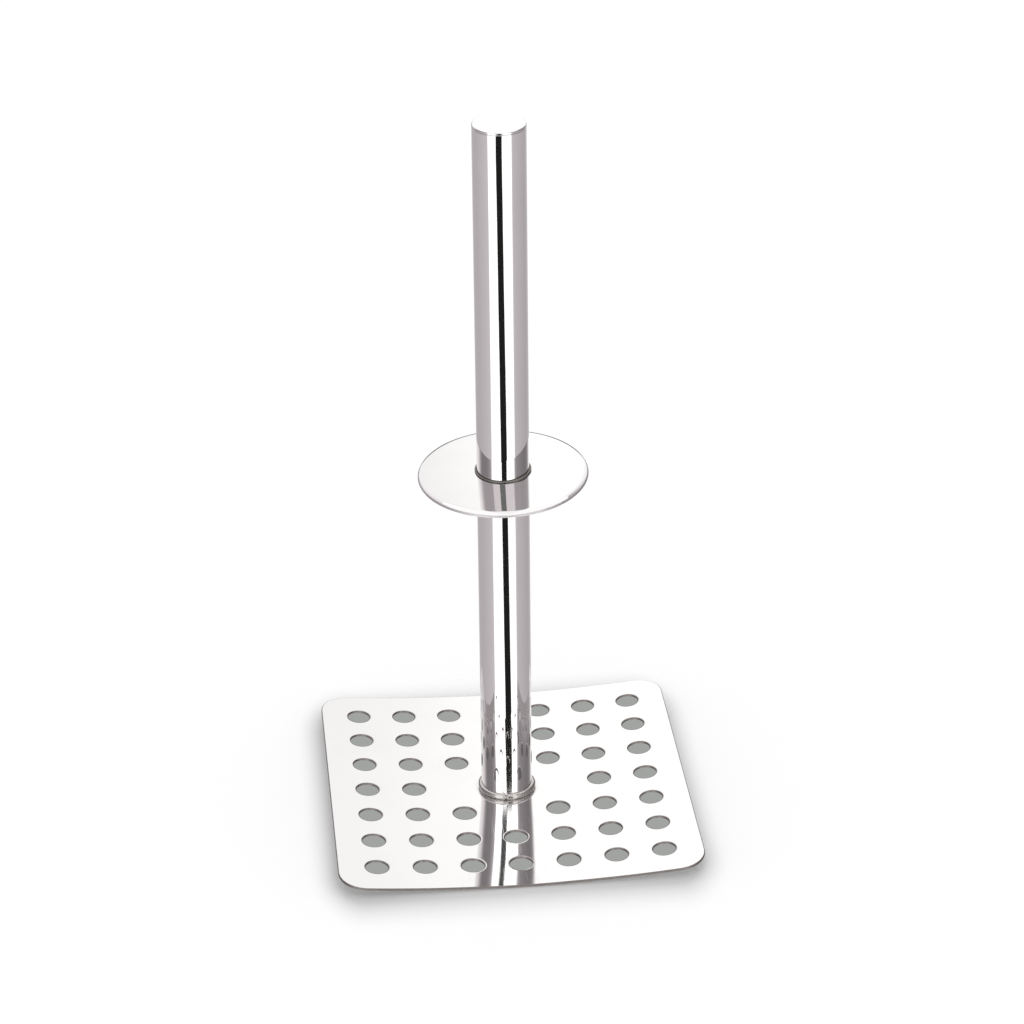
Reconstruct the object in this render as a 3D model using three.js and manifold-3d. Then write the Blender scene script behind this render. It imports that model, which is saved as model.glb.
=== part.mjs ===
// Stainless-steel hand masher: a bowed, perforated square plate, a straight tube
// handle welded to its middle, and a round domed guard part-way up the handle.
// Millimetres, +Z up the handle. The origin is on the floor under the handle's axis,
// where the plate's lowest line touches. The plate is bowed about an axis along Y,
// so its left and right sides (-X and +X) are raised.

import * as THREE from 'three';
import { mergeVertices } from 'three/addons/utils/BufferGeometryUtils.js';
import Module from 'manifold-3d';

const wasm = await Module();
wasm.setup();

// Driving dimensions
const TOTAL_HEIGHT = 306;

const PLATE_SIZE = 152.4;
const PLATE_THICKNESS = 1.2;
const PLATE_CORNER_RADIUS = 11.5;
const PLATE_BEND_RADIUS = 675;
const PLATE_FACETS = 15;

const HOLES_PER_SIDE = 7;
const HOLE_PITCH = 20;
const HOLE_DIAMETER = 10;
const HOLE_SIDES = 16;

const TUBE_DIAMETER = 21.6;
const TUBE_WALL = 1.2;

const GUARD_DIAMETER = 70;
const GUARD_THICKNESS = 1;
const GUARD_HEIGHT = 153.85;
const GUARD_DOME_RADIUS = 700;
const GUARD_SHOULDER_RADIUS = 6;
const GUARD_SHOULDER_TURN = 28 * Math.PI / 180;
const GUARD_LIP_RADIUS = 1.3;
const GUARD_LIP_TURN = 65 * Math.PI / 180;
const GUARD_BORE_PLAY = 0.3;
const GUARD_LEAN_FORWARD = 2.9 * Math.PI / 180;
const GUARD_LEAN_LEFT = 1.5 * Math.PI / 180;

const BASE_WELD_WIDTH = 1.35;
const BASE_WELD_HEIGHT = 2.4;
const GUARD_WELD_SIZE = 0.9;
const GUARD_WELD_PLAY = 0.15;

const CAP_THICKNESS = 1.2;
const CAP_EDGE_RADIUS = 0.6;
const CAP_SKIRT_DEPTH = 8;
const CAP_SKIRT_WALL = 1;
const CAP_SKIRT_PLAY = 0.3;

// Room left between pieces that the welds join, and between the tube and the bowed plate
const CLEARANCE = 0.05;
const TUBE_FOOT_GAP = 0.3;

const ROUND_SIDES = 40;

// Worked-out dimensions
const TUBE_RADIUS = TUBE_DIAMETER / 2;
const TUBE_BORE_RADIUS = TUBE_RADIUS - TUBE_WALL;
const TUBE_FOOT = PLATE_THICKNESS + TUBE_FOOT_GAP;
const TUBE_TOP = TOTAL_HEIGHT - CAP_THICKNESS;
const GUARD_RADIUS = GUARD_DIAMETER / 2;
const GUARD_BORE_RADIUS = TUBE_RADIUS + GUARD_BORE_PLAY;

function steel(color, roughness) {
  return new THREE.MeshStandardMaterial({ color, roughness, metalness: 1 });
}

const polishedSteel = steel(0xd9d9db, 0.08);
const weldSteel = steel(0xaaa7a2, 0.3);

function toSolid(geometry) {
  const bare = geometry.clone();
  bare.deleteAttribute('normal');
  bare.deleteAttribute('uv');
  const merged = mergeVertices(bare, 1e-4);
  return new wasm.Manifold(new wasm.Mesh({
    numProp: 3,
    vertProperties: merged.attributes.position.array,
    triVerts: Uint32Array.from(merged.index.array),
  }));
}

function toGeometry(solid) {
  const { vertProperties, triVerts } = solid.getMesh();
  const geometry = new THREE.BufferGeometry();
  geometry.setAttribute('position', new THREE.BufferAttribute(vertProperties, 3));
  geometry.setIndex(new THREE.BufferAttribute(triVerts, 1));
  geometry.computeVertexNormals();
  return geometry;
}

function named(name, geometry, material) {
  const mesh = new THREE.Mesh(geometry, material);
  mesh.name = name;
  return mesh;
}

// Turns a profile of [radius, height] points about the handle's axis. The points run
// counter-clockwise, so the outer wall is drawn upwards.
function turned(profile) {
  const points = profile.map(([radius, height]) => new THREE.Vector2(radius, height));
  return new THREE.LatheGeometry(points, ROUND_SIDES).rotateX(Math.PI / 2);
}

function closedRing(profile) {
  return turned([...profile, profile[0]]);
}

// The plate's section across the bend, drawn as flat facets with one centred on x = 0,
// so that the plate has a true flat to stand on, extruded from front to back.
function bowedBlank() {
  const facetAngle = PLATE_SIZE / PLATE_FACETS / PLATE_BEND_RADIUS;
  const outerRadius = PLATE_BEND_RADIUS + PLATE_THICKNESS;
  const bendCentre = outerRadius * Math.cos(facetAngle / 2);
  const corners = Array.from({ length: PLATE_FACETS + 3 }, (_, i) => {
    return (i - 1 - PLATE_FACETS / 2) * facetAngle;
  });
  const atRadius = (radius) => (angle) => {
    return new THREE.Vector2(radius * Math.sin(angle), bendCentre - radius * Math.cos(angle));
  };
  const underside = corners.map(atRadius(outerRadius));
  const topside = corners.map(atRadius(PLATE_BEND_RADIUS)).reverse();
  const section = new THREE.Shape([...underside, ...topside]);
  const depth = PLATE_SIZE + 2;
  return new THREE.ExtrudeGeometry(section, { depth, bevelEnabled: false })
    .rotateX(Math.PI / 2)
    .translate(0, depth / 2, 0);
}

// A tall prism with the plate's outline, which trims the blank to size.
function outlinePrism() {
  const side = PLATE_SIZE / 2;
  const inner = side - PLATE_CORNER_RADIUS;
  const outline = new THREE.Shape();
  outline.absarc(inner, inner, PLATE_CORNER_RADIUS, 0, Math.PI / 2);
  outline.absarc(-inner, inner, PLATE_CORNER_RADIUS, Math.PI / 2, Math.PI);
  outline.absarc(-inner, -inner, PLATE_CORNER_RADIUS, Math.PI, 1.5 * Math.PI);
  outline.absarc(inner, -inner, PLATE_CORNER_RADIUS, 1.5 * Math.PI, 2 * Math.PI);
  const options = { depth: 4 * PLATE_CORNER_RADIUS, bevelEnabled: false, curveSegments: 7 };
  return new THREE.ExtrudeGeometry(outline, options).translate(0, 0, -PLATE_CORNER_RADIUS);
}

// One punch for each hole, square to the sheet where the hole is. The middle hole and
// its four neighbours are left out, so the tube and its weld stand on solid sheet.
function holePunches() {
  const middle = (HOLES_PER_SIDE - 1) / 2;
  const punches = [];
  for (let column = -middle; column <= middle; column += 1) {
    for (let row = -middle; row <= middle; row += 1) {
      if (Math.abs(column) + Math.abs(row) > 1) {
        const angle = column * HOLE_PITCH / PLATE_BEND_RADIUS;
        const radius = HOLE_DIAMETER / 2;
        const length = 6 * PLATE_THICKNESS;
        const punch = new THREE.CylinderGeometry(radius, radius, length, HOLE_SIDES)
          .rotateX(Math.PI / 2)
          .translate(0, 0, -PLATE_BEND_RADIUS)
          .rotateY(-angle)
          .translate(0, row * HOLE_PITCH, PLATE_BEND_RADIUS);
        punches.push(toSolid(punch));
      }
    }
  }
  return punches;
}

function mashingPlate() {
  const blank = toSolid(bowedBlank()).intersect(toSolid(outlinePrism()));
  const plate = holePunches().reduce((sheet, punch) => sheet.subtract(punch), blank);
  return named('mashing_plate', toGeometry(plate), polishedSteel);
}

function handleTube() {
  return named('handle_tube', closedRing([
    [TUBE_BORE_RADIUS, TUBE_FOOT],
    [TUBE_RADIUS, TUBE_FOOT],
    [TUBE_RADIUS, TUBE_TOP],
    [TUBE_BORE_RADIUS, TUBE_TOP],
  ]), polishedSteel);
}

// A rounded bead on an upright wall, with half of an oval for its section
function weldBead(name, inner, level, width, height) {
  const steps = 6;
  return named(name, closedRing(Array.from({ length: steps + 1 }, (_, i) => {
    const angle = (i / steps - 0.5) * Math.PI;
    return [inner + width * Math.cos(angle), level + height * (1 + Math.sin(angle)) / 2];
  })), weldSteel);
}

function baseWeld() {
  const inner = TUBE_RADIUS + CLEARANCE;
  return weldBead('base_weld', inner, TUBE_FOOT, BASE_WELD_WIDTH, BASE_WELD_HEIGHT);
}

// The guard's upper face in section: three arcs, each tangent to the next. A shallow dome
// about a point on the handle's axis turns over a shoulder into a lip at the rim. Angles
// run from the vertical, and heights from the middle of the sheet's thickness at the bore.
function guardArcs() {
  const middleRadius = GUARD_DOME_RADIUS - GUARD_THICKNESS / 2;
  const domeLevel = -Math.sqrt(middleRadius ** 2 - GUARD_BORE_RADIUS ** 2);
  const domeToShoulder = GUARD_DOME_RADIUS - GUARD_SHOULDER_RADIUS;
  const shoulderToLip = GUARD_SHOULDER_RADIUS - GUARD_LIP_RADIUS;
  const beyondDome = shoulderToLip * Math.sin(GUARD_SHOULDER_TURN)
    + GUARD_LIP_RADIUS * Math.sin(GUARD_LIP_TURN);
  const domeTurn = Math.asin((GUARD_RADIUS - beyondDome) / domeToShoulder);
  const shoulder = [
    domeToShoulder * Math.sin(domeTurn),
    domeLevel + domeToShoulder * Math.cos(domeTurn),
  ];
  const lip = [
    shoulder[0] + shoulderToLip * Math.sin(GUARD_SHOULDER_TURN),
    shoulder[1] + shoulderToLip * Math.cos(GUARD_SHOULDER_TURN),
  ];
  return [
    { centre: [0, domeLevel], radius: GUARD_DOME_RADIUS, to: domeTurn, steps: 4 },
    { centre: shoulder, radius: GUARD_SHOULDER_RADIUS, to: GUARD_SHOULDER_TURN, steps: 3 },
    { centre: lip, radius: GUARD_LIP_RADIUS, to: GUARD_LIP_TURN, steps: 3 },
  ];
}

// Points along the guard's section, from the bore to the rim, at a depth below its upper face
function guardFace(depth) {
  let from = Math.asin(GUARD_BORE_RADIUS / (GUARD_DOME_RADIUS - depth));
  const points = [];
  for (const { centre, radius, to, steps } of guardArcs()) {
    for (let i = points.length ? 1 : 0; i <= steps; i += 1) {
      const angle = from + (to - from) * i / steps;
      points.push([
        centre[0] + (radius - depth) * Math.sin(angle),
        centre[1] + (radius - depth) * Math.cos(angle),
      ]);
    }
    from = to;
  }
  return points;
}

// Height of the guard's dome at a radius, at a depth below its upper face
function domeHeight(radius, depth) {
  return guardArcs()[0].centre[1] + Math.sqrt((GUARD_DOME_RADIUS - depth) ** 2 - radius ** 2);
}

function guardDisc() {
  const profile = [...guardFace(GUARD_THICKNESS), ...guardFace(0).reverse()];
  return named('guard_disc', closedRing(profile), polishedSteel);
}

function guardWelds() {
  const inner = TUBE_RADIUS + GUARD_WELD_PLAY;
  const size = GUARD_WELD_SIZE;
  const topLevel = domeHeight(GUARD_BORE_RADIUS, 0) + CLEARANCE;
  const underLevel = domeHeight(inner + size, GUARD_THICKNESS) - CLEARANCE - size;
  return [
    weldBead('guard_weld_top', inner, topLevel, size, size),
    weldBead('guard_weld_bottom', inner, underLevel, size, size),
  ];
}

// The guard and its welds lean a little, because the guard was set on the tube by hand.
function guard() {
  const group = new THREE.Group();
  group.add(guardDisc(), ...guardWelds());
  group.position.z = GUARD_HEIGHT;
  group.rotation.set(GUARD_LEAN_FORWARD, -GUARD_LEAN_LEFT, 0);
  return group;
}

// A pressed cup that closes the tube: a flat top as wide as the tube, and a skirt inside it.
function endCap() {
  const underside = TUBE_TOP + CLEARANCE;
  const skirtRadius = TUBE_BORE_RADIUS - CAP_SKIRT_PLAY;
  const skirtFoot = TUBE_TOP - CAP_SKIRT_DEPTH;
  const edgeSteps = 3;
  const edge = Array.from({ length: edgeSteps + 1 }, (_, i) => {
    const angle = i / edgeSteps * Math.PI / 2;
    return [
      TUBE_RADIUS - CAP_EDGE_RADIUS * (1 - Math.cos(angle)),
      TOTAL_HEIGHT - CAP_EDGE_RADIUS * (1 - Math.sin(angle)),
    ];
  });
  return named('end_cap', turned([
    [0, underside],
    [skirtRadius - CAP_SKIRT_WALL, underside],
    [skirtRadius - CAP_SKIRT_WALL, skirtFoot],
    [skirtRadius, skirtFoot],
    [skirtRadius, underside],
    [TUBE_RADIUS, underside],
    ...edge,
    [0, TOTAL_HEIGHT],
  ]), polishedSteel);
}

const masher = new THREE.Group();
masher.add(mashingPlate(), baseWeld(), handleTube(), guard(), endCap());

export default masher;
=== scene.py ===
"""The looks of a mirror-polished stainless-steel hand masher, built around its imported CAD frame.

Every piece is a fine mesh that stands for one CAD node, because flat facets show at once in a
mirror finish. A light tent that only reflections see gives the steel its bands.
"""

import math

import bpy
from mathutils import Matrix, Vector


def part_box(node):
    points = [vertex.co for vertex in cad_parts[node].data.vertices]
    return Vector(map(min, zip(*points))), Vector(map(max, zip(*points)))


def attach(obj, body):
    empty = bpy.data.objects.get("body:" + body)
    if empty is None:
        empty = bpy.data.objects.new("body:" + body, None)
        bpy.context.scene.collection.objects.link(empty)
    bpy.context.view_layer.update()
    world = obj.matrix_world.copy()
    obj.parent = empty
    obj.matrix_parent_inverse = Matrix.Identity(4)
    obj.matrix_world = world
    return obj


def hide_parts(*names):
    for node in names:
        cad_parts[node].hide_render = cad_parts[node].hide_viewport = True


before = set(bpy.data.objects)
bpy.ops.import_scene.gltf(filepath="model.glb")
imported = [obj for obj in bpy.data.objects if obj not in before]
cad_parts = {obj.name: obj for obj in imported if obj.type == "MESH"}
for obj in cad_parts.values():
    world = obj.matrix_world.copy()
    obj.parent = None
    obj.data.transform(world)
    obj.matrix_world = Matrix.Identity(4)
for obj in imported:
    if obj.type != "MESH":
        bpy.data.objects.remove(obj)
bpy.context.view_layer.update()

MM = 0.001

# Sizes that the frame's boxes don't say, as in the CAD model
PLATE_THICKNESS = 1.2 * MM
PLATE_CORNER_RADIUS = 11.5 * MM
PLATE_BEND_RADIUS = 675 * MM
HOLES_PER_SIDE = 7
HOLE_PITCH = 20 * MM
TUBE_WALL = 1.2 * MM
GUARD_RADIUS = 35 * MM
GUARD_THICKNESS = 1.0 * MM
GUARD_HEIGHT = 153.85 * MM
GUARD_DOME_RADIUS = 700 * MM
GUARD_SHOULDER_RADIUS = 6 * MM
GUARD_SHOULDER_TURN = math.radians(28)
GUARD_LIP_RADIUS = 1.3 * MM
GUARD_LIP_TURN = math.radians(65)
GUARD_BORE_PLAY = 0.3 * MM
GUARD_LEAN_FORWARD = math.radians(2.9)
GUARD_LEAN_LEFT = math.radians(1.5)
GUARD_WELD_SIZE = 0.9 * MM
GUARD_WELD_PLAY = 0.15 * MM
BASE_WELD_PLAY = 0.05 * MM
CAP_SKIRT_WALL = 1.0 * MM
CAP_SKIRT_PLAY = 0.3 * MM
CAP_SEAM = 0.05 * MM
CAP_EDGE_RADIUS = 0.6 * MM

# Fine detail that only the visual meshes have. A hole is a little narrower than in the CAD
# model, and its edges roll over before its dull wall starts
HOLE_RADIUS = 4.8 * MM
HOLE_ROLL_WIDTH = 0.95 * MM
HOLE_ROLL_DEPTH = 0.35 * MM
HOLE_RING_WIDTH = 0.4 * MM
EDGE_ROLL = 0.3 * MM
CAP_LIP_RADIUS = 0.2 * MM
CAP_TOP_RINGS = (8 * MM, 5 * MM, 2.5 * MM, 1 * MM)
TUBE_EDGE_RADIUS = 0.12 * MM

# The plate's middle line is drawn down: how deep, how wide the trough is, and how far it reaches
PLATE_DIP = 0.25 * MM
PLATE_DIP_WIDTH = 14 * MM
PLATE_DIP_REACH = 34 * MM

# Where each bead starts and stops it has a notch, and past it a swelling: the angle and half
# width in degrees, and the share of the bead's size
BASE_LUMPS = ((-97, 3, -0.3), (-80, 14, 0.18), (-20, 40, 0.1))
GUARD_LUMPS = ((-52, 24, 0.7), (-20, 14, 0.35))
BEAD_RIPPLE = 0.03
BEAD_RIPPLES_PER_TURN = 7
BEAD_RIPPLE_PHASE = 2
BEAD_SHARP_ANGLE = math.radians(60)

# The guard's beads, apart from their swellings, fill this share of their size in the CAD model
GUARD_BEAD_SHARE = 0.75

# How finely the meshes are drawn
HOLE_STEPS_PER_SIDE = 16
HOLE_ROLL_STEPS = 8
CELL_RINGS = 3
MARGIN_RINGS = 2
ROLL_STEPS = 4
ROUND_SEGMENTS = 192
DOME_STEPS, SHOULDER_STEPS, LIP_STEPS = 16, 14, 12
BEAD_SEGMENTS = 480
BEAD_STEPS = 16

# The material slots of a piece of sheet
POLISHED_FACE, EDGE_FACE = 0, 1


# ---------------------------------------------------------------- mesh helpers


def new_mesh(name, points, faces, normals=None, face_materials=None, materials=()):
    """A smooth-shaded mesh object, with exact vertex normals where they are given."""
    mesh = bpy.data.meshes.new(name)
    mesh.from_pydata(points, [], faces)
    for material in materials:
        mesh.materials.append(material)
    mesh.polygons.foreach_set("use_smooth", [True] * len(faces))
    if face_materials:
        mesh.polygons.foreach_set("material_index", face_materials)
    if normals:
        mesh.normals_split_custom_set_from_vertices(normals)
    mesh.update()
    piece = bpy.data.objects.new(name, mesh)
    bpy.context.scene.collection.objects.link(piece)
    return piece


def heading(turn):
    """The direction in a lathe's section that is turned from +Z outwards."""
    return Vector((math.sin(turn), math.cos(turn)))


def arc(centre, radius, start, end, steps, facing=1):
    """(point, normal) pairs along an arc in a lathe's section. Angles run from +Z outwards, and
    facing is -1 where the surface faces the arc's centre."""
    pairs = []
    for k in range(steps + 1):
        out = heading(start + (end - start) * k / steps)
        pairs.append((centre + out * radius, out * facing))
    return pairs


def lathe(name, profile, materials, on_axis=False, segments=ROUND_SEGMENTS):
    """Turns a closed profile of (point, normal) pairs about Z. on_axis ends it on the axis."""
    points, normals, faces = [], [], []
    count = len(profile)
    for k in range(segments):
        angle = 2 * math.pi * k / segments
        c, s = math.cos(angle), math.sin(angle)
        for point, normal in profile:
            points.append((point.x * c, point.x * s, point.y))
            normals.append((normal.x * c, normal.x * s, normal.y))
    for k in range(segments):
        here, there = k * count, (k + 1) % segments * count
        for j in range(count - 1 if on_axis else count):
            m = (j + 1) % count
            faces.append((here + j, there + j, there + m, here + m))
    if on_axis:
        for end, upwards in ((0, -1), (count - 1, 1)):
            hub = len(points)
            points.append((0, 0, profile[end][0].y))
            normals.append((0, 0, upwards))
            for k in range(segments):
                a, b = k * count + end, (k + 1) % segments * count + end
                faces.append((hub, a, b) if upwards > 0 else (hub, b, a))
    return new_mesh(name, points, faces, normals, materials=materials)


# ---------------------------------------------------------------- the perforated plate


class BowedSheet:
    """Collects the plate's vertices in flat coordinates and bends them as they are added."""

    def __init__(self):
        self.points, self.normals, self.faces, self.face_materials = [], [], [], []
        self.known = {}
        self.outer_radius = PLATE_BEND_RADIUS + PLATE_THICKNESS

    def vertex(self, u, v, height, normal):
        key = (round(u * 1e7), round(v * 1e7), round(height * 1e7))
        if key not in self.known:
            angle = math.asin(u / self.outer_radius)
            c, s = math.cos(angle), math.sin(angle)
            lift, slope = self.dip(u)
            radius = self.outer_radius - height - lift
            self.known[key] = len(self.points)
            self.points.append((radius * s, v, self.outer_radius - radius * c))
            across, along, up = normal
            across -= up * slope
            bent = Vector((across * c - up * s, along, across * s + up * c))
            self.normals.append(bent.normalized())
        return self.known[key]

    def dip(self, u):
        """(lift, slope) of the sheet beside its middle line, which the weld has drawn down."""
        near = math.exp(-u * u / (2 * PLATE_DIP_WIDTH ** 2))
        far = math.exp(-u * u / (2 * PLATE_DIP_REACH ** 2))
        lift = PLATE_DIP * (1 - near) * far
        steepness = near / PLATE_DIP_WIDTH ** 2 - (1 - near) / PLATE_DIP_REACH ** 2
        return lift, PLATE_DIP * u * far * steepness

    def strip(self, inner, outer, flip, material):
        """Faces between two closed rings of vertices, or the two sides of a band."""
        for k in range(len(inner)):
            m = (k + 1) % len(inner)
            face = (inner[k], outer[k], outer[m], inner[m])
            self.faces.append(face[::-1] if flip else face)
            self.face_materials.append(material)


def edge_section(width, depth, steps):
    """(inset, height, sideways, upwards) down a rounded sheet edge, from its top to its
    underside. Each rounding is a quarter of an oval."""
    section = []
    for top in (True, False):
        for step in range(steps + 1):
            turn = math.pi / 2 * (step / steps if top else 1 - step / steps)
            inset = width * (1 - math.sin(turn))
            drop = depth * (1 - math.cos(turn))
            height = PLATE_THICKNESS - drop if top else drop
            sideways, upwards = math.sin(turn) / width, math.cos(turn) / depth
            length = math.hypot(sideways, upwards)
            facing = 1 if top else -1
            section.append((inset, height, sideways / length, upwards / length * facing))
    return section


def square_ring(half, steps_per_side):
    """Points round a square, from its right back corner, counter-clockwise."""
    ring = []
    for sx, sy, dx, dy in ((1, 1, -1, 0), (-1, 1, 0, -1), (-1, -1, 1, 0), (1, -1, 0, 1)):
        for step in range(steps_per_side):
            run = 2 * half * step / steps_per_side
            ring.append((sx * half + dx * run, sy * half + dy * run))
    return ring


def add_holed_cell(sheet, cu, cv):
    """One square of the grid with its hole, centred on (cu, cv)."""
    square = square_ring(HOLE_PITCH / 2, HOLE_STEPS_PER_SIDE)
    count = len(square)
    rays = []
    for k in range(count):
        angle = math.pi / 4 + 2 * math.pi * k / count
        rays.append((math.cos(angle), math.sin(angle)))
    for height, up in ((PLATE_THICKNESS, 1), (0, -1)):
        rings = []
        for step in range(CELL_RINGS + 1):
            t = step / CELL_RINGS
            reach = (HOLE_RADIUS + HOLE_ROLL_WIDTH) * (1 - t)
            rings.append([
                sheet.vertex(cu + x * reach + su * t, cv + y * reach + sv * t, height, (0, 0, up))
                for (x, y), (su, sv) in zip(rays, square)
            ])
        for inner, outer in zip(rings, rings[1:]):
            sheet.strip(inner, outer, up < 0, POLISHED_FACE)
    walls = []
    section = edge_section(HOLE_ROLL_WIDTH, HOLE_ROLL_DEPTH, HOLE_ROLL_STEPS)
    for inset, height, sideways, upwards in section:
        reach = HOLE_RADIUS + inset
        walls.append([
            sheet.vertex(cu + x * reach, cv + y * reach, height, (-x * sideways, -y * sideways, upwards))
            for x, y in rays
        ])
    for upper, lower, place in zip(walls, walls[1:], section[1:]):
        rolled = place[0] > HOLE_RING_WIDTH
        sheet.strip(lower, upper, False, POLISHED_FACE if rolled else EDGE_FACE)


def add_plain_cell(sheet, cu, cv):
    """One square of the grid that was left unpunched, centred on (cu, cv)."""
    n = HOLE_STEPS_PER_SIDE
    pitch = HOLE_PITCH / n
    for height, up in ((PLATE_THICKNESS, 1), (0, -1)):
        grid = [
            [
                sheet.vertex(cu + (i - n / 2) * pitch, cv + (j - n / 2) * pitch, height, (0, 0, up))
                for j in range(n + 1)
            ]
            for i in range(n + 1)
        ]
        for i in range(n):
            for j in range(n):
                face = (grid[i][j], grid[i + 1][j], grid[i + 1][j + 1], grid[i][j + 1])
                sheet.faces.append(face if up > 0 else face[::-1])
                sheet.face_materials.append(POLISHED_FACE)


def add_margin(sheet, half):
    """The plain border from the outermost cells to the rounded outline, and its rolled edge."""
    grid_outline = square_ring(HOLES_PER_SIDE * HOLE_PITCH / 2, HOLES_PER_SIDE * HOLE_STEPS_PER_SIDE)
    limit = half - PLATE_CORNER_RADIUS
    anchors = []
    for u, v in grid_outline:
        au, av = max(-limit, min(limit, u)), max(-limit, min(limit, v))
        length = math.hypot(u - au, v - av)
        anchors.append((au, av, (u - au) / length, (v - av) / length, length))
    for height, up in ((PLATE_THICKNESS, 1), (0, -1)):
        rings = []
        for step in range(MARGIN_RINGS + 1):
            t = step / MARGIN_RINGS
            ring = []
            for au, av, x, y, length in anchors:
                reach = length * (1 - t) + (PLATE_CORNER_RADIUS - EDGE_ROLL) * t
                ring.append(sheet.vertex(au + x * reach, av + y * reach, height, (0, 0, up)))
            rings.append(ring)
        for inner, outer in zip(rings, rings[1:]):
            sheet.strip(inner, outer, up < 0, POLISHED_FACE)
    walls = []
    for inset, height, sideways, upwards in edge_section(EDGE_ROLL, EDGE_ROLL, ROLL_STEPS):
        reach = PLATE_CORNER_RADIUS - inset
        walls.append([
            sheet.vertex(au + x * reach, av + y * reach, height, (x * sideways, y * sideways, upwards))
            for au, av, x, y, length in anchors
        ])
    for upper, lower in zip(walls, walls[1:]):
        sheet.strip(upper, lower, False, EDGE_FACE)


def mashing_plate():
    """The whole grid of cells and the border round it."""
    sheet = BowedSheet()
    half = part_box("mashing_plate")[1].x
    middle = (HOLES_PER_SIDE - 1) // 2
    for column in range(-middle, middle + 1):
        for row in range(-middle, middle + 1):
            add_cell = add_holed_cell if abs(column) + abs(row) > 1 else add_plain_cell
            add_cell(sheet, column * HOLE_PITCH, row * HOLE_PITCH)
    add_margin(sheet, half)
    return new_mesh(
        "plate_sheet", sheet.points, sheet.faces, sheet.normals, sheet.face_materials,
        (steel_sheet, cut_edge),
    )


# ---------------------------------------------------------------- tube, guard, welds and cap


def handle_tube():
    """A straight tube whose four edges are just broken."""
    low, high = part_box("handle_tube")
    outer, inner, edge = high.x, high.x - TUBE_WALL, TUBE_EDGE_RADIUS
    quarter = math.pi / 2
    profile = arc(Vector((inner + edge, low.z + edge)), edge, -quarter, -2 * quarter, ROLL_STEPS)
    profile += arc(Vector((outer - edge, low.z + edge)), edge, 2 * quarter, quarter, ROLL_STEPS)
    profile += arc(Vector((outer - edge, high.z - edge)), edge, quarter, 0, ROLL_STEPS)
    profile += arc(Vector((inner + edge, high.z - edge)), edge, 0, -quarter, ROLL_STEPS)
    return lathe("tube_shell", profile, [steel_tube])


def guard_place():
    """Where the guard is: its middle on the tube's axis, leaning a little."""
    return (
        Matrix.Translation((0, 0, GUARD_HEIGHT))
        @ Matrix.Rotation(GUARD_LEAN_FORWARD, 4, "X")
        @ Matrix.Rotation(-GUARD_LEAN_LEFT, 4, "Y")
    )


def guard_bore():
    """The radius of the guard's hole."""
    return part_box("handle_tube")[1].x + GUARD_BORE_PLAY


def guard_arcs():
    """(centre, radius, turn at its end, steps) of the three arcs along the guard's upper face,
    each tangent to the next: a shallow dome, a shoulder and a lip. Turns run from the vertical,
    and heights from the middle of the sheet's thickness at the bore."""
    middle_radius = GUARD_DOME_RADIUS - GUARD_THICKNESS / 2
    dome = Vector((0, -math.sqrt(middle_radius ** 2 - guard_bore() ** 2)))
    to_shoulder = GUARD_DOME_RADIUS - GUARD_SHOULDER_RADIUS
    to_lip = GUARD_SHOULDER_RADIUS - GUARD_LIP_RADIUS
    beyond = to_lip * math.sin(GUARD_SHOULDER_TURN) + GUARD_LIP_RADIUS * math.sin(GUARD_LIP_TURN)
    dome_turn = math.asin((GUARD_RADIUS - beyond) / to_shoulder)
    shoulder = dome + to_shoulder * heading(dome_turn)
    lip = shoulder + to_lip * heading(GUARD_SHOULDER_TURN)
    return (
        (dome, GUARD_DOME_RADIUS, dome_turn, DOME_STEPS),
        (shoulder, GUARD_SHOULDER_RADIUS, GUARD_SHOULDER_TURN, SHOULDER_STEPS),
        (lip, GUARD_LIP_RADIUS, GUARD_LIP_TURN, LIP_STEPS),
    )


def guard_face(depth, facing):
    """(point, normal) pairs from the bore to the rim, at a depth below the upper face."""
    start = math.asin((guard_bore() + EDGE_ROLL) / (GUARD_DOME_RADIUS - depth))
    face = []
    for centre, radius, end, steps in guard_arcs():
        face = face[:-1] + arc(centre, radius - depth, start, end, steps, facing)
        start = end
    return face


def guard_disc():
    """Both faces of the guard, its broken rim and its bore, with duller, darker steel on the lip,
    whose darkness is partly painted shade for the dark line round the rim.
    """
    top, under = guard_face(0, 1), guard_face(GUARD_THICKNESS, -1)
    lip = guard_arcs()[-1][0]
    across = heading(GUARD_LIP_TURN)
    tip = lip + across * (GUARD_LIP_RADIUS - GUARD_THICKNESS / 2)
    spread = across * (GUARD_THICKNESS / 2 - EDGE_ROLL)
    level = GUARD_LIP_TURN + math.pi / 2
    down = GUARD_LIP_TURN + math.pi
    edge = arc(tip - spread, EDGE_ROLL, down, level, ROLL_STEPS)[1:]
    edge += arc(tip + spread, EDGE_ROLL, level, GUARD_LIP_TURN, ROLL_STEPS)[:-1]
    inward = Vector((-1, 0))
    bore_wall = [
        (Vector((guard_bore(), top[0][0].y - EDGE_ROLL)), inward),
        (Vector((guard_bore(), under[0][0].y + EDGE_ROLL)), inward),
    ]
    disc = lathe("guard_shell", under + edge + top[::-1] + bore_wall, [steel_guard, rim_edge_and_shade])
    # The lip takes the darker edge steel, partly painted shade for the dark line round the rim
    lip_start = lip.x + GUARD_LIP_RADIUS * math.sin(GUARD_SHOULDER_TURN)
    for face in disc.data.polygons:
        if face.center.xy.length > lip_start:
            face.material_index = EDGE_FACE
    disc.data.transform(guard_place())
    return disc


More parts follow.
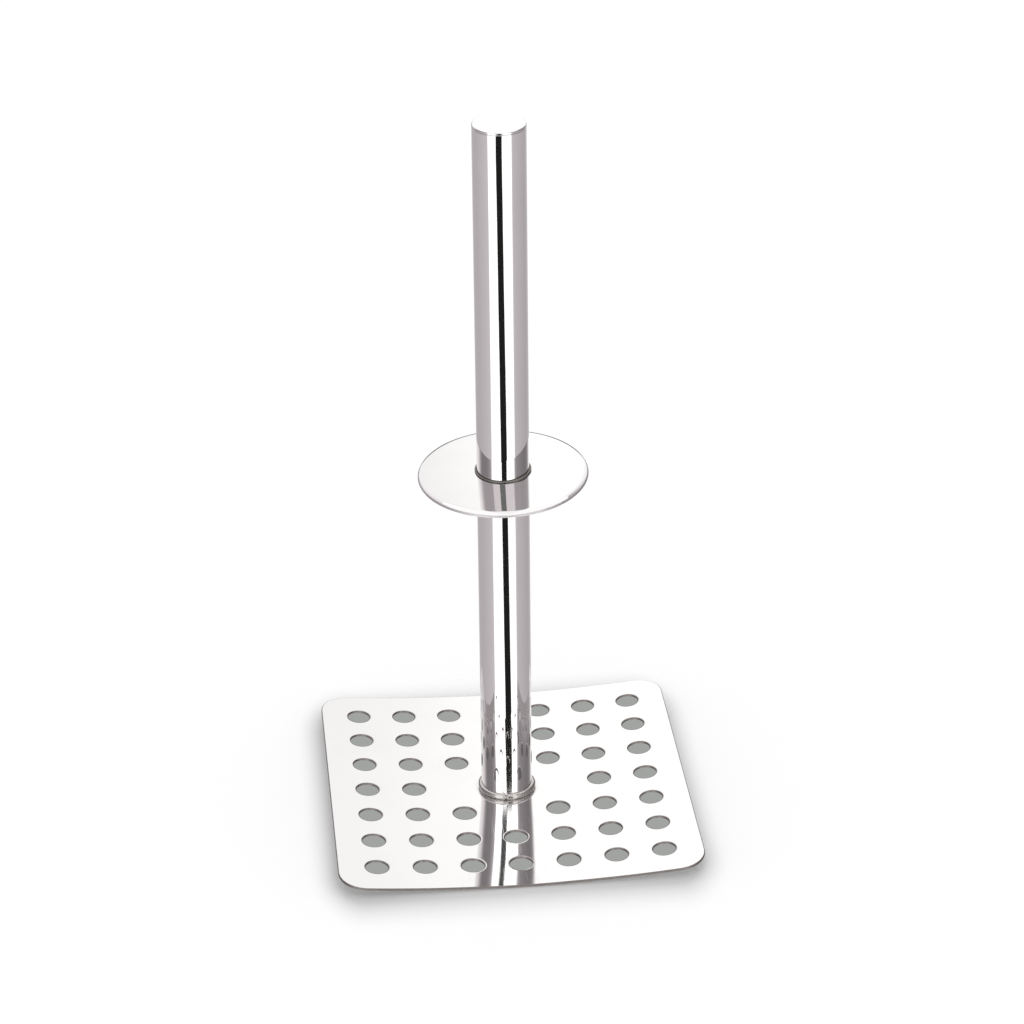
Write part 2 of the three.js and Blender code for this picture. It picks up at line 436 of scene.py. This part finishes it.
def weld_bead(name, inner, width, height, lumps, material):
    """A rounded bead that stands on z = 0 round a tube, uneven as a hand-laid weld is."""
    points, faces = [], []
    for k in range(BEAD_SEGMENTS):
        angle = 2 * math.pi * k / BEAD_SEGMENTS
        size = 1 + BEAD_RIPPLE * math.sin(BEAD_RIPPLES_PER_TURN * angle + BEAD_RIPPLE_PHASE)
        for middle, half_width, share in lumps:
            away = (math.degrees(angle) - middle + 180) % 360 - 180
            size += share * math.exp(-2 * (away / half_width) ** 2)
        for step in range(BEAD_STEPS + 1):
            turn = math.pi * (step / BEAD_STEPS - 0.5)
            radius = inner + width * size * math.cos(turn)
            level = height * (1 + size * math.sin(turn)) / 2
            points.append((radius * math.cos(angle), radius * math.sin(angle), level))
    count = BEAD_STEPS + 1
    for k in range(BEAD_SEGMENTS):
        here, there = k * count, (k + 1) % BEAD_SEGMENTS * count
        for j in range(count):
            m = (j + 1) % count
            faces.append((here + j, there + j, there + m, here + m))
    bead = new_mesh(name, points, faces, materials=[material])
    bead.data.set_sharp_from_angle(angle=BEAD_SHARP_ANGLE)
    return bead


def base_bead():
    """It stands on the bowed plate, so its foot follows the bow."""
    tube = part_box("handle_tube")[1].x
    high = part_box("base_weld")[1]
    inner = tube + BASE_WELD_PLAY
    height = high.z - PLATE_THICKNESS
    bead = weld_bead("base_bead", inner, high.x - inner, height, BASE_LUMPS, base_weld_steel)
    for vertex in bead.data.vertices:
        vertex.co.z += PLATE_THICKNESS + vertex.co.x ** 2 / (2 * PLATE_BEND_RADIUS)
    return bead


def guard_bead(name, below):
    """It stands on the guard, or hangs under it, and leans with it."""
    inner = guard_bore() - GUARD_BORE_PLAY + GUARD_WELD_PLAY
    size = GUARD_WELD_SIZE * GUARD_BEAD_SHARE
    bead = weld_bead(name, inner, size, size, GUARD_LUMPS, guard_weld_steel)
    shift = Matrix.Translation((0, 0, GUARD_THICKNESS / 2))
    if below:
        shift = Matrix.Rotation(math.pi, 4, "X") @ shift
    bead.data.transform(guard_place() @ shift)
    return bead


def end_cap():
    """A pressed cup: a flat top with a rounded edge, and a skirt inside the tube."""
    low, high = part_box("end_cap")
    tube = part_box("handle_tube")[1]
    skirt = tube.x - TUBE_WALL - CAP_SKIRT_PLAY
    under = tube.z + CAP_SEAM
    hollow = skirt - CAP_SKIRT_WALL
    down, up = Vector((0, -1)), Vector((0, 1))
    lip = CAP_LIP_RADIUS
    profile = [(Vector((CAP_TOP_RINGS[-1], under)), down), (Vector((hollow - lip, under)), down)]
    profile += arc(Vector((hollow - lip, under - lip)), lip, 0, math.pi / 2, ROLL_STEPS, -1)[1:]
    profile += arc(Vector((hollow + lip, low.z + lip)), lip, -math.pi / 2, -math.pi, ROLL_STEPS)
    profile += arc(Vector((skirt - lip, low.z + lip)), lip, math.pi, math.pi / 2, ROLL_STEPS)
    profile += arc(Vector((skirt + lip, under - lip)), lip, -math.pi / 2, 0, ROLL_STEPS, -1)
    profile += arc(Vector((tube.x - lip, under + lip)), lip, math.pi, math.pi / 2, ROLL_STEPS)
    edge = Vector((tube.x - CAP_EDGE_RADIUS, high.z - CAP_EDGE_RADIUS))
    profile += arc(edge, CAP_EDGE_RADIUS, math.pi / 2, 0, 2 * ROLL_STEPS)
    profile += [(Vector((radius, high.z)), up) for radius in CAP_TOP_RINGS]
    return lathe("cap_shell", profile, [steel_cap], on_axis=True)


# ---------------------------------------------------------------- shaders


class Shader:
    """Short forms for building a material's nodes. add returns the new node, steel and output
    the finished material, and the rest the socket to link."""

    def __init__(self, name):
        self.material = bpy.data.materials.new(name)
        self.material.use_nodes = True
        self.tree = self.material.node_tree
        self.tree.nodes.clear()

    def add(self, kind, inputs=None, **settings):
        node = self.tree.nodes.new("ShaderNode" + kind)
        for key, value in settings.items():
            setattr(node, key, value)
        for key, value in (inputs or {}).items():
            self.feed(node.inputs[key], value)
        return node

    def feed(self, socket, value):
        if isinstance(value, bpy.types.NodeSocket):
            self.tree.links.new(value, socket)
        else:
            socket.default_value = value

    def math(self, operation, *values, clamp=False):
        node = self.add("Math", operation=operation, use_clamp=clamp)
        for socket, value in zip(node.inputs, values):
            self.feed(socket, value)
        return node.outputs[0]

    def remap(self, value, low, high, to_low, to_high, smooth=False):
        limits = {"From Min": low, "From Max": high, "To Min": to_low, "To Max": to_high}
        kind = "SMOOTHSTEP" if smooth else "LINEAR"
        node = self.add("MapRange", {"Value": value, **limits}, interpolation_type=kind)
        return node.outputs["Result"]

    def noise(self, vector, scale, detail=2.0, roughness=0.5):
        node = self.add(
            "TexNoise",
            {"Vector": vector, "Scale": scale, "Detail": detail, "Roughness": roughness},
        )
        return node.outputs["Fac"]

    def mapped(self, vector, scale, turn=0.0):
        """vector, turned about Z and stretched, so that a noise on it becomes lines."""
        node = self.add("Mapping", {"Vector": vector, "Scale": scale, "Rotation": (0, 0, turn)})
        return node.outputs["Vector"]

    def mix_colour(self, factor, first, second):
        node = self.add("Mix", data_type="RGBA")
        self.feed(node.inputs[0], factor)
        self.feed(node.inputs[6], first)
        self.feed(node.inputs[7], second)
        return node.outputs[2]

    def steel(self, colour, rough, bump):
        """Ends the tree with bare metal, and returns the material."""
        inputs = {"Base Color": colour, "Roughness": rough, "Normal": bump.outputs[0]}
        metal = self.add("BsdfPrincipled", inputs)
        metal.inputs["Metallic"].default_value = 1.0
        return self.output(metal.outputs[0])

    def output(self, surface):
        self.add("OutputMaterial", {"Surface": surface})
        return self.material


def opaque(colour):
    return tuple(colour) + (1,)


HEAT_ROUGHNESS = 0.22
HEAT_START, HEAT_END = 0.5 * MM, 2.5 * MM
# A painted shade that greys the plate towards its left side: its colour, its strongest share, and the
# span along X where it fades out
LEFT_SHADE_STEEL = (0.62, 0.612, 0.61)
LEFT_SHADE_SHARE = 0.44
LEFT_SHADE_FROM, LEFT_SHADE_TO = -70 * MM, 25 * MM
SMUDGE_SHADE = 0.955
FINE_BUMP = 0.012
STRAW = (0.96, 0.94, 0.9)


def scratches(s, vector, turn, length, spacing, rarity):
    """A few hair-thin marks all running one way: 1 on a scratch and 0 beside it."""
    stretched = s.mapped(vector, (1 / spacing, 1 / length, 1 / spacing), turn)
    return s.remap(s.noise(stretched, 1.0, 0.0), rarity, rarity + 0.02, 0.0, 1.0)


def heat_ring(s, place):
    """1 round the foot of the tube, where the weld's heat dulled the sheet, and 0 elsewhere."""
    flat = s.add("VectorMath", {0: place, 1: (1, 1, 0)}, operation="MULTIPLY").outputs[0]
    reach = s.add("VectorMath", {0: flat}, operation="LENGTH").outputs["Value"]
    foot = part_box("base_weld")[1].x
    return s.remap(reach, foot + HEAT_START, foot + HEAT_END, 1.0, 0.0, smooth=True)


def polished_steel(name, grain, roughness=0.035, waviness=0.02, wear=0.12, welded_and_left_shaded=False):
    """Mirror-polished stainless: faint polishing lines along grain, smudges, hair scratches and
    a slow waviness that bends its reflections a little. For the plate it is also rougher round the
    foot of the tube, and a painted shade greys it towards its left side."""
    s = Shader(name)
    colour = (0.92, 0.91, 0.905)
    smudged = tuple(channel * SMUDGE_SHADE for channel in colour)
    place = s.add("TexCoord").outputs["Object"]
    smudge = s.noise(place, 45.0, 4.0, 0.6)
    lines = s.noise(s.mapped(place, grain), 1.0, 3.0, 0.6)
    short_marks = scratches(s, place, turn=0.5, length=0.02, spacing=0.00035, rarity=0.78)
    long_marks = scratches(s, place, turn=-0.9, length=0.03, spacing=0.0005, rarity=0.79)
    marks = s.math("MULTIPLY", s.math("MAXIMUM", short_marks, long_marks), wear)
    haze = s.remap(smudge, 0.45, 0.75, 0.0, 0.03, smooth=True)
    streak = s.remap(lines, 0.35, 0.7, 0.0, 0.02)
    rough = s.math("ADD", roughness, s.math("ADD", haze, s.math("ADD", streak, marks)))
    tint = s.mix_colour(s.remap(smudge, 0.3, 0.8, 0.0, 1.0), opaque(colour), opaque(smudged))
    if welded_and_left_shaded:
        rough = s.math("ADD", rough, s.math("MULTIPLY", heat_ring(s, place), HEAT_ROUGHNESS))
        # Painted shade: the colour greys towards the plate's left side
        across = s.add("SeparateXYZ", {"Vector": place}).outputs[0]
        left_shade = s.remap(across, LEFT_SHADE_FROM, LEFT_SHADE_TO, LEFT_SHADE_SHARE, 0.0)
        tint = s.mix_colour(left_shade, tint, opaque(LEFT_SHADE_STEEL))
    slow = s.noise(place, 18.0, 1.0)
    wave = s.add("Bump", {"Strength": waviness, "Distance": 0.004, "Height": slow})
    fine = s.add("Bump", {"Strength": FINE_BUMP, "Distance": 0.0002, "Height": lines})
    s.feed(fine.inputs["Normal"], wave.outputs[0])
    return s.steel(tint, rough, fine)


def dark_edge_steel(name, dark, light):
    """A punched or trimmed edge: duller and darker than the sheet, with fine drag lines. On the
    guard's lip the darkness is partly painted shade.
    """
    s = Shader(name)
    place = s.add("TexCoord").outputs["Object"]
    drag = s.noise(s.mapped(place, (6000, 6000, 700)), 1.0, 2.0)
    blotch = s.noise(place, 600.0, 2.0)
    colour = s.mix_colour(blotch, opaque(dark), opaque(light))
    rough = s.remap(drag, 0.3, 0.7, 0.34, 0.5)
    bump = s.add("Bump", {"Strength": 0.25, "Distance": 0.0001, "Height": drag})
    return s.steel(colour, rough, bump)


def weld_metal(name, colour, roughness):
    """A weld bead: small pits, and a straw-coloured heat tint in places."""
    s = Shader(name)
    place = s.add("TexCoord").outputs["Object"]
    pits = s.noise(place, 1500.0, 3.0)
    blotch = s.noise(place, 260.0, 2.0)
    straw = tuple(channel * share for channel, share in zip(colour, STRAW))
    tint = s.mix_colour(s.remap(blotch, 0.45, 0.65, 0.0, 1.0), opaque(colour), opaque(straw))
    rough = s.remap(pits, 0.3, 0.7, roughness, roughness + 0.14)
    bump = s.add("Bump", {"Strength": 0.03, "Distance": 0.0002, "Height": pits})
    return s.steel(tint, rough, bump)


# The plate's material also carries the painted shade on its left side
steel_sheet = polished_steel("steel_sheet", (60, 2600, 60), waviness=0.05, welded_and_left_shaded=True)
steel_tube = polished_steel("steel_tube", (1800, 1800, 12), 0.015, waviness=0.004, wear=0.02)
steel_guard = polished_steel("steel_guard", (900, 900, 900))
steel_cap = polished_steel("steel_cap", (1500, 60, 60), 0.06)
cut_edge = dark_edge_steel("cut_edge", (0.21, 0.185, 0.175), (0.36, 0.33, 0.32))
# Duller steel for the guard's lip, darkened partly as painted shade for the line round its rim
rim_edge_and_shade = dark_edge_steel("rim_edge_and_shade", (0.7, 0.67, 0.68), (0.8, 0.77, 0.78))
base_weld_steel = weld_metal("base_weld_steel", (0.66, 0.64, 0.625), 0.16)
guard_weld_steel = weld_metal("guard_weld_steel", (0.22, 0.21, 0.2), 0.3)

pieces = [
    (mashing_plate(), "mashing_plate", "polished_steel"),
    (handle_tube(), "handle_tube", "polished_steel"),
    (base_bead(), "base_weld", "weld_steel"),
    (guard_disc(), "guard_disc", "polished_steel"),
    (guard_bead("guard_bead_top", False), "guard_weld_top", "weld_steel"),
    (guard_bead("guard_bead_bottom", True), "guard_weld_bottom", "weld_steel"),
    (end_cap(), "end_cap", "polished_steel"),
]
for piece, node, slot in pieces:
    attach(piece, "root")
    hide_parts(node)


# ---------------------------------------------------------------- camera


CAMERA_TARGET = Vector((3.5, -0.3, 134.4)) * MM
CAMERA_DISTANCE = 1442.5 * MM
CAMERA_AZIMUTH = math.radians(-5.506)
CAMERA_ELEVATION = math.radians(28.0)
CAMERA_ROLL = math.radians(-0.62)
CAMERA_LENS = 123.05
CAMERA_CLIP_END = 20.0


def add_camera():
    level = math.cos(CAMERA_ELEVATION)
    away = Vector((
        math.sin(CAMERA_AZIMUTH) * level,
        -math.cos(CAMERA_AZIMUTH) * level,
        math.sin(CAMERA_ELEVATION),
    ))
    data = bpy.data.cameras.new("camera")
    data.lens = CAMERA_LENS
    data.clip_end = CAMERA_CLIP_END
    camera = bpy.data.objects.new("camera", data)
    aim = away.to_track_quat("Z", "Y").to_matrix()
    roll = Matrix.Rotation(CAMERA_ROLL, 3, "Z")
    place = Matrix.Translation(CAMERA_TARGET + away * CAMERA_DISTANCE)
    camera.matrix_world = place @ (aim @ roll).to_4x4()
    bpy.context.scene.collection.objects.link(camera)
    bpy.context.scene.camera = camera


# ---------------------------------------------------------------- floor and light


FLOOR_SIZE = 6.0
FLOOR_DROP = 0.02 * MM
FLOOR_WHITE = 0.93
WORLD_STRENGTH = 1.1
HALO_SHIFT_X, HALO_SHIFT_Y = 0.7 * MM, 3.8 * MM
HALO_SQUEEZE = 0.53
HALO_CORNER = 12 * MM
HALO_REACH = 12 * MM
HALO_DEPTH = 0.36
UNDER_PLATE = (0.36, 0.37, 0.36)
UNDER_START, UNDER_END = 6 * MM, 3 * MM


def halo_distance(s, x, y, half):
    """How far a point is outside the plate's rounded outline. Steps along Y count for less, so
    that the halo reaches further at the front and the back, and looks even from the camera."""
    over_x = s.math("SUBTRACT", x, half - HALO_CORNER)
    over_y = s.math("MULTIPLY", s.math("SUBTRACT", y, half - HALO_CORNER / HALO_SQUEEZE), HALO_SQUEEZE)
    out_x, out_y = s.math("MAXIMUM", over_x, 0.0), s.math("MAXIMUM", over_y, 0.0)
    squares = s.math("ADD", s.math("MULTIPLY", out_x, out_x), s.math("MULTIPLY", out_y, out_y))
    inside = s.math("MINIMUM", s.math("MAXIMUM", over_x, over_y), 0.0)
    return s.math("SUBTRACT", s.math("ADD", s.math("SQRT", squares), inside), HALO_CORNER)


def soft_floor():
    """A white floor with a soft halo of shade round the plate and flat grey shade under it."""
    s = Shader("floor")
    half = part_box("mashing_plate")[1].x
    place = s.add("SeparateXYZ", {"Vector": s.add("TexCoord").outputs["Object"]})
    x = s.math("ABSOLUTE", s.math("ADD", place.outputs[0], HALO_SHIFT_X))
    y = s.math("ABSOLUTE", s.math("ADD", place.outputs[1], HALO_SHIFT_Y))
    nearness = s.math("DIVIDE", halo_distance(s, x, y, half), HALO_REACH)
    fade = s.math("SUBTRACT", 1.0, nearness, clamp=True)
    shade = s.math("SUBTRACT", 1.0, s.math("MULTIPLY", HALO_DEPTH, s.math("POWER", fade, 2.0)))
    white = s.math("MULTIPLY", shade, FLOOR_WHITE)
    colour = s.add("CombineColor", {0: white, 1: white, 2: white})
    paper = s.add("BsdfDiffuse", {"Color": colour.outputs[0]})
    under = s.add("Emission", {"Color": opaque(UNDER_PLATE), "Strength": 1.0})
    true_x = s.math("ABSOLUTE", place.outputs[0])
    true_y = s.math("ABSOLUTE", place.outputs[1])
    border = s.math("MAXIMUM", true_x, true_y)
    covered = s.remap(border, half - UNDER_START, half - UNDER_END, 1.0, 0.0, smooth=True)
    surface = s.add("MixShader", {0: covered, 1: paper.outputs[0], 2: under.outputs[0]})
    return s.output(surface.outputs[0])


def add_floor():
    corners = [
        (x * FLOOR_SIZE, y * FLOOR_SIZE, -FLOOR_DROP) for x, y in ((-1, -1), (1, -1), (1, 1), (-1, 1))
    ]
    floor = new_mesh("floor", corners, [(0, 1, 2, 3)], materials=[soft_floor()])
    floor.visible_glossy = False


def add_world():
    world = bpy.data.worlds.new("world")
    world.use_nodes = True
    background = world.node_tree.nodes["Background"]
    background.inputs["Color"].default_value = (1, 1, 1, 1)
    background.inputs["Strength"].default_value = WORLD_STRENGTH
    bpy.context.scene.world = world


TENT_RADIUS = 1.0
TENT_STEPS = 240
BLACK_CARD_RADIUS = 0.985
BLACK_CARD_STEPS = 12
TENT_BOTTOM, TENT_TOP = -1.4, 1.4
TENT_FACING = CAMERA_AZIMUTH
MAUVE_LEAN = 0.07
BRIGHTEST_GREY = 0.9
CARD_GREEN = 1.02


def tent_point(azimuth, z, radius=TENT_RADIUS):
    """azimuth is in degrees from the camera's side, positive to the camera's right."""
    angle = TENT_FACING + math.radians(azimuth)
    return (radius * math.sin(angle), -radius * math.cos(angle), z)


def glow(name, colour):
    """A plain glow. Light sampling is off, because it would look straight through the black cards."""
    s = Shader(name)
    s.material.cycles.emission_sampling = "NONE"
    return s.output(s.add("Emission", {"Color": opaque(colour), "Strength": 1.0}).outputs[0])


def only_in_reflections(card):
    card.visible_camera = False
    card.visible_diffuse = False
    card.visible_shadow = False
    card.visible_transmission = False
    card.visible_volume_scatter = False


def add_card(name, edges, material, radius, steps):
    """A card on the tent's wall. edges holds (z, left azimuth, right azimuth) from the bottom up."""
    points, faces = [], []
    for z, left, right in edges:
        for k in range(steps + 1):
            points.append(tent_point(left + (right - left) * k / steps, z, radius))
    for row in range(len(edges) - 1):
        for k in range(steps):
            a = row * (steps + 1) + k
            faces.append((a, a + 1, a + steps + 2, a + steps + 1))
    only_in_reflections(new_mesh(name, points, faces, materials=[material]))


def tone_ring(s, share, tones):
    """tones holds (azimuth in degrees, brightness) from -180 to 180. Greys lean to mauve."""
    ramp = s.add("ValToRGB", {"Fac": share})
    stops = ramp.color_ramp.elements
    while len(stops) < len(tones):
        stops.new(0.5)
    for stop, (azimuth, tone) in zip(stops, tones):
        stop.position = (azimuth + 180) / 360
        lean = MAUVE_LEAN if tone < BRIGHTEST_GREY else 0.0
        stop.color = (tone, tone * (1 - lean), tone * (1 - lean / 2), 1)
    return ramp.outputs[0]


def tent_wall():
    """The tent's brightness round the object, in bands from its bottom edge up. The upright tube
    reflects the lower bands, and the plate and the guard reflect the upper ones."""
    s = Shader("tent_wall")
    s.material.cycles.emission_sampling = "NONE"
    x, y, z = s.add("SeparateXYZ", {"Vector": s.add("NewGeometry").outputs["Position"]}).outputs
    c, n = math.cos(TENT_FACING), math.sin(TENT_FACING)
    along = s.math("SUBTRACT", s.math("MULTIPLY", x, n), s.math("MULTIPLY", y, c))
    across = s.math("ADD", s.math("MULTIPLY", x, c), s.math("MULTIPLY", y, n))
    turn = s.math("ARCTAN2", across, along)
    share = s.remap(turn, -math.pi, math.pi, 0.0, 1.0)
    colour = tone_ring(s, share, BELOW_TONES)
    for start, full, tones in TENT_BANDS:
        blend = s.remap(z, start, full, 0.0, 1.0)
        colour = s.mix_colour(blend, colour, tone_ring(s, share, tones))
    return s.output(s.add("Emission", {"Color": colour, "Strength": 1.0}).outputs[0])


BELOW_TONES = (
    (-180, 0.14),
    (-51, 0.14),
    (-48, 1.3),
    (51, 1.3),
    (54, 0.14),
    (180, 0.14),
)
LOWER_TONES = (
    (-180, 0.80),
    (-163, 0.66),
    (-145, 0.48),
    (-110, 0.48),
    (-75, 0.54),
    (-49.5, 0.60),
    (-48, 1.3),
    (52, 1.3),
    (54, 0.62),
    (62, 0.54),
    (90, 0.49),
    (130, 0.43),
    (150, 0.52),
    (180, 0.75),
)
HORIZON_TONES = (
    (-180, 0.12),
    (-100, 0.2),
    (-49.5, 0.5),
    (-48, 1.3),
    (52, 1.3),
    (54, 0.5),
    (100, 0.2),
    (180, 0.12),
)
UPPER_TONES = (
    (-180, 1.16),
    (-172, 0.98),
    (-150, 0.98),
    (-125, 0.80),
    (-108, 0.34),
    (-98, 0.23),
    (-70, 0.25),
    (-58, 0.34),
    (-49, 0.52),
    (-47, 1.7),
    (46, 1.7),
    (49, 0.50),
    (60, 0.30),
    (90, 0.23),
    (110, 0.21),
    (132, 0.32),
    (150, 0.98),
    (170, 1.16),
    (180, 1.16),
)
TOP_TONES = (
    (-180, 1.16),
    (-172, 0.98),
    (-150, 0.98),
    (-125, 0.85),
    (-108, 0.50),
    (-95, 0.40),
    (-49, 0.40),
    (-47, 0.72),
    (46, 0.76),
    (49, 0.40),
    (100, 0.36),
    (132, 0.42),
    (150, 0.98),
    (170, 1.16),
    (180, 1.16),
)
# From the bottom up: the height where a band starts to blend in, the height where it has taken
# over, and its tones
TENT_BANDS = (
    (-0.578, -0.568, LOWER_TONES),
    (-0.06, -0.02, HORIZON_TONES),
    (0.26, 0.32, UPPER_TONES),
    (0.76, 0.80, TOP_TONES),
)
# Each black card's name and brightness, and its edges: (height, middle azimuth, half width)
BLACK_CARDS = (
    ("flag_in_tube", 0.014, (
        (-0.70, 16.5, 13.2),
        (-0.10, -1.5, 12.6),
        (0.10, 4.0, 11.3),
        (0.53, 4.0, 10.6),
        (0.56, 8.5, 12.0),
        (0.634, 12.5, 12.0),
    )),
    ("flag_in_plate", 0.08, ((0.634, -9.0, 10), (0.75, -9.5, 10))),
    ("flag_in_guard", 0.165, ((0.80, -5.0, 12.0), (1.20, -5.0, 12.0))),
)


def add_tent():
    wall = [(TENT_BOTTOM, -180, 180), (TENT_TOP, -180, 180)]
    add_card("tent", wall, tent_wall(), TENT_RADIUS, TENT_STEPS)
    for name, tone, edges in BLACK_CARDS:
        sides = [(z, middle - half, middle + half) for z, middle, half in edges]
        card = glow(name, (tone, tone * CARD_GREEN, tone))
        add_card(name, sides, card, BLACK_CARD_RADIUS, BLACK_CARD_STEPS)


add_camera()
add_floor()
add_world()
add_tent()
bpy.context.scene.view_settings.view_transform = "Standard"
